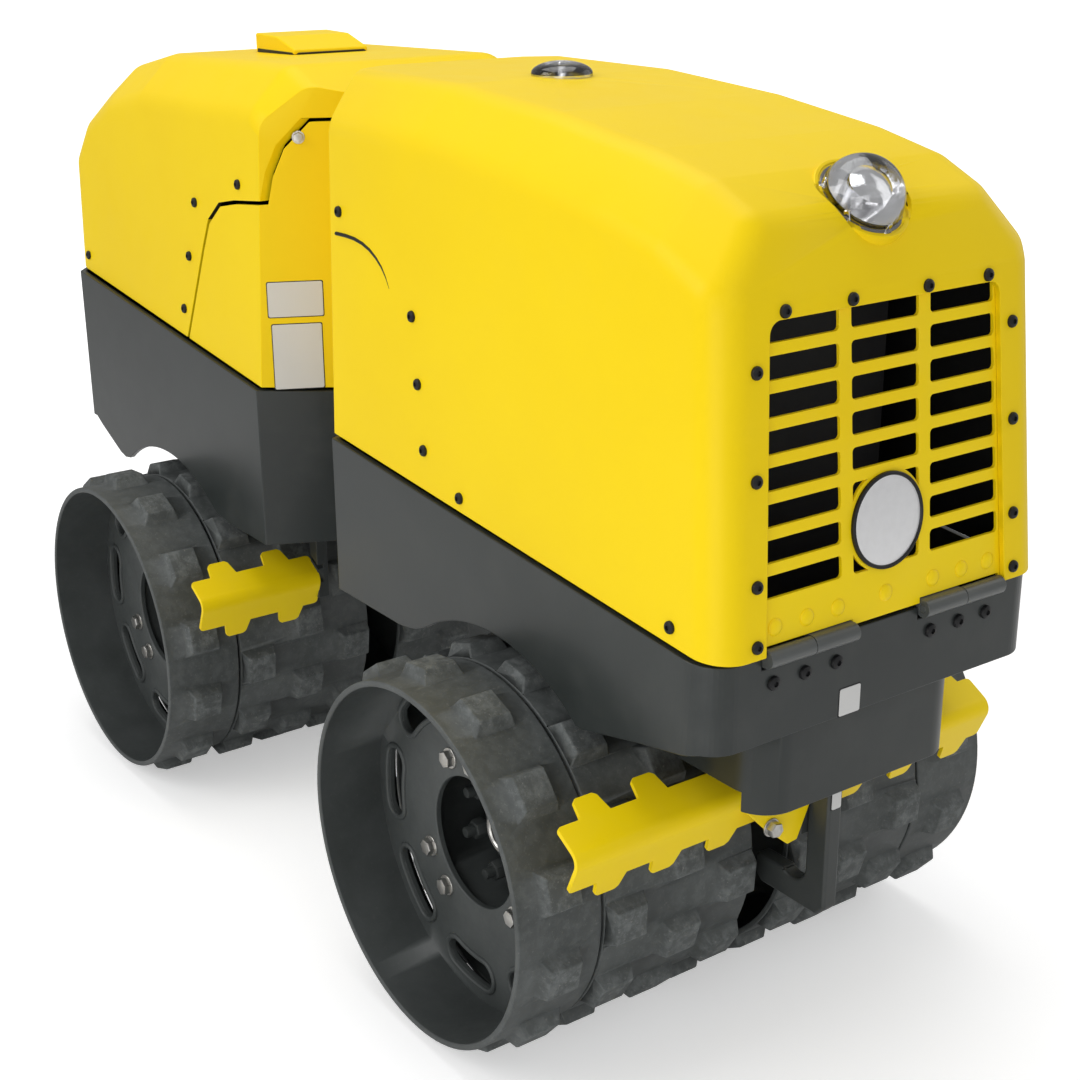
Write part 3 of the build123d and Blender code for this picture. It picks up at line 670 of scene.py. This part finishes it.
def makeDiscFittings(form, wheel):
    z = wheel["axleZ"]
    pairs = [pair + step for pair in form["pairAngles"] for step in (-form["pairHalf"], form["pairHalf"])]
    studAngles = [form["studFirst"] + 360.0 * n / form["studs"] for n in range(form["studs"])]
    slotAngles = [form["slotFirst"] + 360.0 * n / form["slots"] for n in range(form["slots"])]
    for end, x in (("front", wheel["axleX"]), ("rear", -wheel["axleX"])):
        spin = math.radians(360.0 * wheel["rearTurn"] / wheel["lugs"]) if end == "rear" else 0.0
        bolts, beads, studs, hubs = [], [], [], []
        for side in (-1, 1):
            out = (0, side, 0)
            face = side * form["face"]
            for place, a in wheelSpots(x, face, z, form["boltR"], pairs, spin):
                bolts += hexBolt(form["boltSize"], place, out, a)
            for angle in slotAngles:
                flat = slotPath(form, math.radians(angle) + spin)
                path = np.column_stack([x + flat[:, 0], np.full(len(flat), face), z + flat[:, 1]])
                beads.append(tube(path, form["bead"], (0, 1, 0)))
            for place, a in wheelSpots(x, side * form["studFoot"], z, form["studR"], studAngles, spin):
                studs.append(put(turned(form["studProfile"]), place, out))
                studs.append(put(hexHead(*form["nut"]), place, out, a))
            centre = (x, side * form["hubFoot"], z)
            hubs.append(put(turned(form["hubProfile"], 64), centre, out))
            bolts.append(put(turned(form["hubRing"], 48, 0, True), centre, out))
        body = end + "_wheelset"
        makePiece(end + "DiscBolts", bolts, "brightSteel", body, "bright_steel")
        makePiece(end + "DiscStuds", studs, "darkSteel", body, "dark_steel")
        makePiece(end + "HubCovers", hubs, "darkSteel", body, "dark_steel")
        piece = makePiece(end + "SlotBeads", beads, "drumGrey", body, "drum_paint")
        paintWear(piece, x, wheel)


# headlamp on the nose: clear ball over a bright bowl with a bulb shield, held by clips. The clips are plates
# given by width, height, thickness and corner. The rim's profile is measured from the edge of the ball
lampForm = {
    "centre": (0.8490, 0, 1.1430),
    "tilt": 39.0,
    "r": 0.0495,
    "cut": 0.001,
    "wall": 0.0022,
    "seatR": 0.0605,
    "seatDepth": 0.030,
    "pocketHigh": 0.06,
    "bowlWall": 0.0012,
    "shield": [(0, -0.020), (0.010, -0.020), (0.012, -0.006), (0.015, 0.004), (0.015, 0.010), (0.009, 0.015),
               (0, 0.016)],
    "rim": [(-0.004, -0.010), (0.0035, -0.010), (0.0035, -0.0015), (0.0022, 0), (-0.0012, 0),
            (-0.004, -0.003)],
    "clips": (-150.0, -88.0, 30.0, 150.0),
    "clipFoot": (0.011, 0.008, 0.0045, 0.002),
    "clipArm": (0.007, 0.014, 0.003, 0.002),
    "screwR": 0.0032,
}


# quarter circle from a height up to the pole, as (radius, height)
def ballProfile(r, low, steps):
    a = np.linspace(math.asin(low / r), math.pi / 2, steps)
    return np.stack([r * np.cos(a), r * np.sin(a)], 1)


def lampAxis(form):
    tilt = math.radians(form["tilt"])
    return (math.sin(tilt), 0, math.cos(tilt))


# round pocket that the lamp sits in, cut into the ridge of the hood
def lampPocket(form):
    r, low, high = form["seatR"], form["cut"], form["pocketHigh"]
    return put(turned([(0, low), (r, low), (r, high), (0, high)], 72), form["centre"], lampAxis(form))


def makeHeadlamp(form):
    axis = lampAxis(form)
    r, low = form["r"], form["cut"]

    def placed(profile, steps, closed=False):
        return put(turned(profile, steps, 0, closed), form["centre"], axis)

    wall = np.concatenate([ballProfile(r, low, 22), ballProfile(r - form["wall"], low, 22)[::-1]])
    lens = makePiece("headlampLens", [placed(wall, 64)], "lampLens", "front_hood_body", "lens", 60.0)
    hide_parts("headlamp")
    # bowl: its radius grows with the square root of the depth, and it has a thin back
    depth = np.linspace(0.0, 1.0, 12)
    bowl = np.stack([0.006 + 0.034 * np.sqrt(depth), -0.022 + 0.026 * depth], 1)
    back = bowl[::-1] - (-form["bowlWall"], form["bowlWall"])
    shapes = [placed(np.concatenate([bowl, back]), 48, True), placed(form["shield"], 32)]
    makePiece("headlampBowl", shapes, "reflectorMetal", "front_hood_body", "chrome_rod", 40.0)
    rims = [placed(np.array(form["rim"]) + (r, low), 64, True)]
    along = np.array(axis)
    turn = np.array(Vector(axis).to_track_quat("Z", "Y").to_matrix())
    clips = []
    for angle in form["clips"]:
        a = math.radians(angle)
        out = turn @ np.array([math.cos(a), math.sin(a), 0.0])
        spot = np.array(form["centre"]) + out * (r + 0.0005) + along * low
        rims.append(put(buttonHead(form["screwR"]), spot + out * 0.003, out))
        clips.append(put(plateShape(*form["clipFoot"]), spot - along * 0.004, out))
        clips.append(put(plateShape(*form["clipArm"]), spot + along * 0.002 - out * 0.002, out))
    makePiece("headlampRim", rims, "rimGrey", "front_hood_body", "dark_steel")
    makePiece("headlampClips", clips, "reflectorMetal", "front_hood_body", "chrome_rod")
    # ring that lines the pocket, with a rounded lip level with the cut
    wide, deep = form["seatR"], low - form["seatDepth"]
    lip = [(wide - 0.0002, low - 0.0012), (wide - 0.0014, low), (wide - 0.0050, low),
           (wide - 0.0062, low - 0.0014)]
    profile = [(r - 0.006, deep), (wide - 0.0002, deep), *lip, (r - 0.006, low - 0.0014)]
    makePiece("headlampSeat", [placed(profile, 96, True)], "yellowHood", "front_hood_body", "yellow_hood")


# dome lamp on the hood: a quarter ellipse turned round, its inner side, and a bright foot with a bulb
domeForm = {
    "centre": (0.285, 0, 1.2385),
    "r": 0.042,
    "high": 0.0165,
    "skirt": 0.002,
    "inside": (0.94, 0.86),
    "foot": [(0, -0.003), (0.038, -0.003), (0.038, 0.001), (0.026, 0.005), (0.008, 0.002), (0, 0.002)],
    "bulb": [(0, 0.001), (0.0055, 0.001), (0.0055, 0.008), (0.003, 0.0105), (0, 0.011)],
}


def makeDome(form):
    centre, up = form["centre"], (0, 0, 1)
    r, skirt = form["r"], form["skirt"]
    a = np.linspace(0, math.pi / 2, 14)
    skin = np.stack([r * np.cos(a), form["high"] * np.sin(a) + skirt], 1)
    inner = skin[::-1] * form["inside"]
    wall = np.concatenate([[(r, -skirt)], skin, inner, [(r * form["inside"][0], -skirt)]])
    shapes = [put(turned(wall, 64), centre, up)]
    lens = makePiece("domeLens", shapes, "lampLens", "front_hood_body", "lens", 60.0)
    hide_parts("dome_lamp")
    shapes = [put(turned(form["foot"], 40), centre, up), put(turned(form["bulb"], 20), centre, up)]
    makePiece("domeReflector", shapes, "reflectorMetal", "front_hood_body", "chrome_rod", 40.0)


# round badge without marks: dark ring and a bright disc whose crown is a parabola
badgeForm = {"z": 0.781, "r": 0.058, "ring": 0.0045, "thick": 0.004, "edge": 0.0028, "crown": 0.0016}


def makeBadge(form):
    hit, normal = seatAhead("grille_badge", 0, form["z"])
    back = hit - normal * form["thick"]
    r, inner = form["r"], form["r"] - form["ring"]
    ring = turned([(inner - 0.001, 0), (r, 0), (r, 0.0036), (r - 0.0012, 0.0046), (inner + 0.0008, 0.0046),
                   (inner, 0.0036), (inner - 0.001, 0.001)], 72, 0, True)
    piece = makePiece("badgeRing", [put(ring, back, normal)], "blackPlastic", "front_hood_body", "dark_steel")
    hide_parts("grille_badge")
    radii = np.linspace(inner, 0, 9)
    crown = np.stack([radii, form["edge"] + form["crown"] * (1 - (radii / inner) ** 2)], 1)
    shapes = [put(turned(np.concatenate([[(0, 0.0005), (inner, 0.0005)], crown]), 72), back, normal)]
    makePiece("badgeDisc", shapes, "badgeSilver", "front_hood_body", "badge_grey", 40.0)


# scrapers: a sheet bent about a line along Y, with tabs between the rows of lugs. Top, fold and low are the
# bent line's (x, z) from the axle's x and the floor, in metres
scraperForm = {
    "thick": 0.006,
    "bend": 0.017,
    "top": (0.2815, 0.4390),
    "fold": (0.3255, 0.4140),
    "low": (0.3035, 0.3640),
    "tab": 0.028,
    "tipHalf": 0.0155,
    "footHalf": 0.0225,
    "corner": 0.006,
    "sharp": 34.0,
    "edge": 0.0013,
}
# node, axle's x, drop, from y, to y, tabs on the upper edge, tabs on the lower edge
scraperTable = [
    ("front_scrapers", 0.5, 0.0, -0.378, -0.022, (-0.320, -0.232), (-0.313, -0.227, -0.137)),
    ("front_scrapers", 0.5, 0.0, 0.022, 0.332, (0.183, 0.287), (0.092, 0.187, 0.287)),
    ("rear_scrapers", -0.5, 0.008, 0.160, 0.374, (0.219, 0.315), (0.209, 0.306)),
    ("rear_scrapers", -0.5, 0.008, -0.374, -0.160, (-0.315, -0.219), (-0.306, -0.209)),
]


# reach of one edge of a scraper along Y: corners rounded at both ends, with a rounded trapezoid at each tab
def edgeReach(form, flat, y0, y1, tabs):
    c, tab = form["corner"], form["tab"]
    knots = [(y0, flat - c), (y0 + 0.3 * c, flat - 0.3 * c), (y0 + c, flat)]
    for y in sorted(tabs):
        for side in (-1, 1):
            steps = [(form["footHalf"], 0.0), (form["tipHalf"] + 0.002, tab - 0.004)]
            steps.append((form["tipHalf"] - 0.003, tab))
            for half, rise in (steps if side < 0 else steps[::-1]):
                knots.append((y + side * half, flat + rise))
    knots += [(y1 - c, flat), (y1 - 0.3 * c, flat - 0.3 * c), (y1, flat - c)]
    return np.array(knots)


# bent sheet: each point is at y along the fold and at s along the bent line, offset by half the thickness
def scraperSheet(form, x, drop, y0, y1, tabsTop, tabsLow):
    top, fold, low = (np.array(form[k]) + (x, -drop) for k in ("top", "fold", "low"))
    up, down = (top - fold) / np.linalg.norm(top - fold), (low - fold) / np.linalg.norm(low - fold)
    turn = math.pi - math.acos(float(up @ down))
    tangent = form["bend"] * math.tan(turn / 2)
    topEdge = edgeReach(form, np.linalg.norm(top - fold), y0, y1, tabsTop)
    lowEdge = edgeReach(form, np.linalg.norm(low - fold), y0, y1, tabsLow)
    ys = np.unique(np.round(np.concatenate([topEdge[:, 0], lowEdge[:, 0]]), 6))
    reachTop, reachLow = (np.interp(ys, e[:, 0], e[:, 1]) for e in (topEdge, lowEdge))
    arc = np.linspace(0, turn, 12)
    normalUp = np.array([-up[1], up[0]])
    if normalUp[0] < 0:
        normalUp = -normalUp
    centre = fold + up * tangent - normalUp * form["bend"]
    first = math.atan2(normalUp[1], normalUp[0])
    rows = []
    for offset in (form["thick"] / 2, -form["thick"] / 2):
        r = form["bend"] + offset
        bend = np.stack([centre[0] + r * np.cos(first - arc), centre[1] + r * np.sin(first - arc)], 1)
        upper = fold + up * reachTop[:, None] + normalUp * offset
        normalLow = np.array([math.cos(first - turn), math.sin(first - turn)])
        lower = fold + down * reachLow[:, None] + normalLow * offset
        middle = np.broadcast_to(bend, (len(ys), len(arc), 2))
        loop = np.concatenate([upper[:, None], middle, lower[:, None]], 1)
        rows.append(loop if offset > 0 else loop[:, ::-1])
    section = np.concatenate(rows, 1)
    points = np.stack([section[..., 0], np.broadcast_to(ys[:, None], section.shape[:2]), section[..., 1]], -1)
    count = section.shape[1]
    faces = [list(f) for f in gridFaces(len(ys), count, False, True)]
    ends = [list(range(count))[::-1], list(range((len(ys) - 1) * count, len(ys) * count))]
    return points.reshape(-1, 3), faces + ends


# bracket under the inner end of the left scraper, bolted to the nose, as (y, z) corners
bracketForm = {
    "x": 0.8265,
    "thick": 0.006,
    "corners": [(-0.127, 0.404), (-0.014, 0.392), (-0.014, 0.378), (-0.034, 0.333), (-0.050, 0.331),
                (-0.092, 0.367)],
    "bolt": (-0.081, 0.366),
    "boltSize": (0.0125, 0.002, 0.009, 0.013),
    "boltTurn": 0.3,
}


def makeScrapers(form, table, bracket):
    finish = ("yellowPaint", "yellow_paint", form["sharp"], form["edge"])
    shapes = {}
    for node, *row in table:
        shapes.setdefault(node, []).append(scraperSheet(form, *row))
    for node, group in shapes.items():
        piece = makePiece(node + "Sheet", group, finish[0], bodyOf[node], *finish[1:])
        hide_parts(node)
    corners = np.array(bracket["corners"])
    count = len(corners)
    back = np.column_stack([np.full(count, bracket["x"]), corners])
    points = np.concatenate([back, back + (bracket["thick"], 0, 0)])
    faces = [[i, (i + 1) % count, (i + 1) % count + count, i + count] for i in range(count)]
    faces += [list(range(count))[::-1], list(range(count, 2 * count))]
    makePiece("scraperBracket", [(points, faces)], finish[0], "front_half", *finish[1:])
    spot = (bracket["x"] + bracket["thick"], *bracket["bolt"])
    shapes = hexBolt(bracket["boltSize"], spot, (1, 0, 0), bracket["boltTurn"])
    makePiece("scraperBolt", shapes, "brightSteel", "front_half", "bright_steel")


# painted shade of the moulded step on the side of the front hood: a dark line that thins out as it turns
# down, as (x, z)
stepShadeForm = {
    "line": [(0.104, 1.027), (0.130, 1.0275), (0.155, 1.0265), (0.177, 1.023), (0.196, 1.017), (0.212, 1.009),
             (0.226, 0.999), (0.237, 0.987), (0.246, 0.973)],
    "thick": 0.0024,
    "tip": 0.0003,
    "sides": 8,
}


# a dark tube of painted shade along the step on each side. The radius falls with the square of the way along
# the line
def makeStepShadeLine(form):
    sides = form["sides"]
    for side, label in ((-1, "Right"), (1, "Left")):
        path = np.array([seatAside("front_hood", side, x, z)[0] for x, z in form["line"]])
        radius = form["thick"] * (1 - np.linspace(0, 1, len(path)) ** 2) + form["tip"]
        points, faces = tube(path, radius, (0, 1, 0), False, sides)
        ends = [list(range(sides))[::-1], list(range(len(points) - sides, len(points)))]
        shape = (points, [list(f) for f in faces] + ends)
        makePiece("hoodStepShade" + label, [shape], "blackPlastic", "front_hood_body", "dark_steel", 50.0)


# dark seal under the foot of the receiver box, a little wider than the box
sealForm = {"grow": 0.0012, "high": 0.006, "corner": 0.012}


def makeSeal(form):
    low, top = (np.array(c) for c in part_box("receiver_box"))
    middle = (low + top) / 2
    width, height = (float(top[k] - low[k]) + 2 * form["grow"] for k in (0, 1))
    points, faces = plateShape(width, height, form["high"], form["corner"])
    shape = (points + (middle[0], middle[1], low[2]), faces)
    makePiece("receiverSeal", [shape], "blackPlastic", bodyOf["receiver_box"], "dark_steel")


# plain floor and world. What the camera sees of them is lifted to white, less so near the machine, where the
# shadow stays. The lift is a grey, and the distances are in metres from the middle
floorForm = {
    "half": 40.0,
    "grey": 0.88,
    "rough": 0.9,
    "gloss": 0.1,
    "nearLift": 0.42,
    "near": 1.6,
    "far": 5.0,
}


def makeFloor(form):
    mesh = bpy.data.meshes.new("floor")
    half = form["half"]
    corners = [(-half, -half, 0), (half, -half, 0), (half, half, 0), (-half, half, 0)]
    mesh.from_pydata(corners, [], [(0, 1, 2, 3)])
    floor = bpy.data.objects.new("floor", mesh)
    bpy.context.scene.collection.objects.link(floor)
    t = Tree("floorPale")
    seen = t.add("ShaderNodeLightPath")
    t.set("Base Color", (form["grey"],) * 3)
    t.set("Roughness", form["rough"])
    t.set("Specular IOR Level", form["gloss"])
    reach = t.add("ShaderNodeVectorMath", {"operation": "LENGTH"}, [t.place()], 1)
    lift = t.mix(t.ramp(reach, form["near"], form["far"]), (form["nearLift"],) * 3, (1.0, 1.0, 1.0))
    t.set("Emission Color", t.mix(seen, (0.0, 0.0, 0.0), lift))
    t.set("Emission Strength", 1.0)
    mesh.materials.append(t.material)


def makeWorld(plainStrength):
    world = bpy.data.worlds.new("paleWorld")
    world.use_nodes = True
    tree = world.node_tree
    back = tree.nodes["Background"]
    back.inputs["Color"].default_value = (1.0, 1.0, 1.0, 1.0)
    path = tree.nodes.new("ShaderNodeLightPath")
    strength = tree.nodes.new("ShaderNodeMapRange")
    strength.inputs["To Min"].default_value = plainStrength
    strength.inputs["To Max"].default_value = 1.0
    tree.links.new(path.outputs["Is Camera Ray"], strength.inputs["Value"])
    tree.links.new(strength.outputs["Result"], back.inputs["Strength"])
    bpy.context.scene.world = world


# CAD nodes that get rounded edges, with the width of the rounding
edgeWidths = {
    "front_frame": 0.0014, "rear_frame": 0.0014, "front_hood": 0.0012, "rear_hood": 0.0012,
    "rear_panel": 0.0012, "grille": 0.0007, "rear_scraper_arms": 0.0012,
    "front_hinges_fixed": 0.0008, "front_hinges_moving": 0.0008, "rear_hinges_fixed": 0.0008,
    "rear_hinges_moving": 0.0008, "front_tiedown_hook": 0.0048, "rear_tiedown_hook": 0.0048,
    "front_gear_case": 0.003, "rear_gear_case": 0.003, "centre_yoke": 0.0012, "receiver_box": 0.003,
    "steering_barrel": 0.001, "front_drums": 0.0024, "rear_drums": 0.0024,
    "front_extension_rings": 0.0024, "rear_extension_rings": 0.0024,
}
for name, width in edgeWidths.items():
    pocket = lampPocket(lampForm) if name == "front_hood" else None
    skin = dressNode(name, width, 4 if "hook" in name else 2, pocket)
    end = -1 if name.startswith("rear") else 1
    if name in ("front_hood", "rear_hood", "rear_panel"):
        darkenInside(skin, end, insideForm)
    if "hinges" in name:
        skin.data.materials[0] = finishes["hingeGrey"]
    if "drums" in name or "rings" in name:
        paintWear(skin, end * drumForm["axleX"], drumForm)
print("CAD nodes dressed:", len(edgeWidths))
makeHoodFittings()
makeLabels(labelForm)
makeStepShadeLine(stepShadeForm)
makeScrapers(scraperForm, scraperTable, bracketForm)
makeSeal(sealForm)
print("hood fittings made")
makeDiscFittings(discForm, drumForm)
print("drums made")
makeHeadlamp(lampForm)
makeDome(domeForm)
makeBadge(badgeForm)
print("lamps and badge made")

makeFloor(floorForm)
makeWorld(worldStrength)
makeLamps(lampTable)
makeCamera(cameraSettings)
bpy.context.scene.view_settings.view_transform = "Standard"
print("floor, world, lights and camera made")
